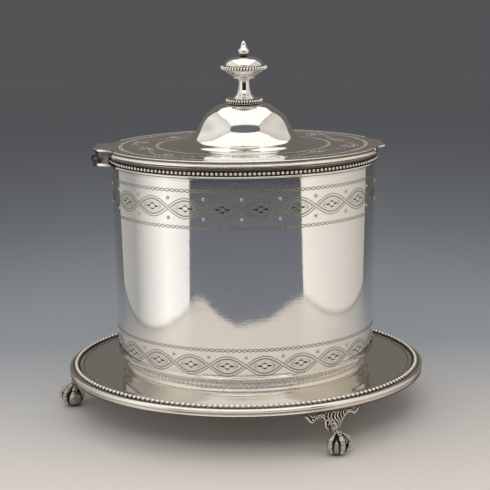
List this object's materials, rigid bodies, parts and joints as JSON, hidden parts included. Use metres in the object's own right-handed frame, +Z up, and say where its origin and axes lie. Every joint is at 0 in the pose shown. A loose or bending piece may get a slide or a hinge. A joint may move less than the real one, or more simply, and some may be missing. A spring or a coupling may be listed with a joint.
{
  "type": "biscuit jar",
  "caption": "Oval silver-plated biscuit jar with a hinged domed lid and turned finial, standing on a beaded tray with claw-and-ball feet.",
  "frame": {"origin": "on the surface it stands on, in the middle of the part's footprint box", "axes": "+Z up, +X from the hinge towards the thumb tab, +Y away from the front"},
  "size_m": [0.2166, 0.173, 0.2159],
  "materials": {
    "body_silver": "polished silver plate with engraved bands",
    "lid_silver": "polished silver plate, softly worn",
    "tray_silver": "polished silver plate",
    "bead_silver": "silver plate with tarnish between the beads",
    "cast_silver": "cast silver plate, darker in the hollows",
    "finial_silver": "polished turned silver plate",
    "inside_silver": "silver plate, dull inside",
    "pin_metal": "plain nickel silver"
  },
  "bodies": {
    "base": {"tray_dish": "tray_silver", "tray_edge_moulding": "tray_silver", "tray_bead_wire": "bead_silver", "foot_hinge_end": "cast_silver", "foot_front": "cast_silver", "foot_back": "cast_silver", "body_shell": "body_silver", "body_floor": "inside_silver", "body_foot_ring": "body_silver", "body_rim_moulding": "body_silver", "body_bead_wire": "bead_silver", "hinge_leaf_body": "lid_silver", "hinge_pin": "pin_metal"},
    "lid": {"lid_cover": "lid_silver", "lid_moulding_front": "lid_silver", "lid_moulding_back": "lid_silver", "lid_bezel": "inside_silver", "hinge_leaf_lid": "lid_silver", "finial_collar": "finial_silver", "finial_collar_beads": "finial_silver", "finial_stem": "finial_silver", "finial_bowl": "finial_silver", "finial_disc": "finial_silver", "finial_disc_beads": "finial_silver", "finial_cap": "finial_silver", "finial_spire": "finial_silver", "finial_stud": "pin_metal", "finial_washer": "pin_metal", "finial_nut": "pin_metal"}
  },
  "joints": [
    {"name": "lid_hinge", "type": "hinge", "parent": "base", "child": "lid", "pos_m": [-0.07906, 0, 0.1523], "axis": [0, -1, 0], "range_deg": [0, 100]}
  ]
}
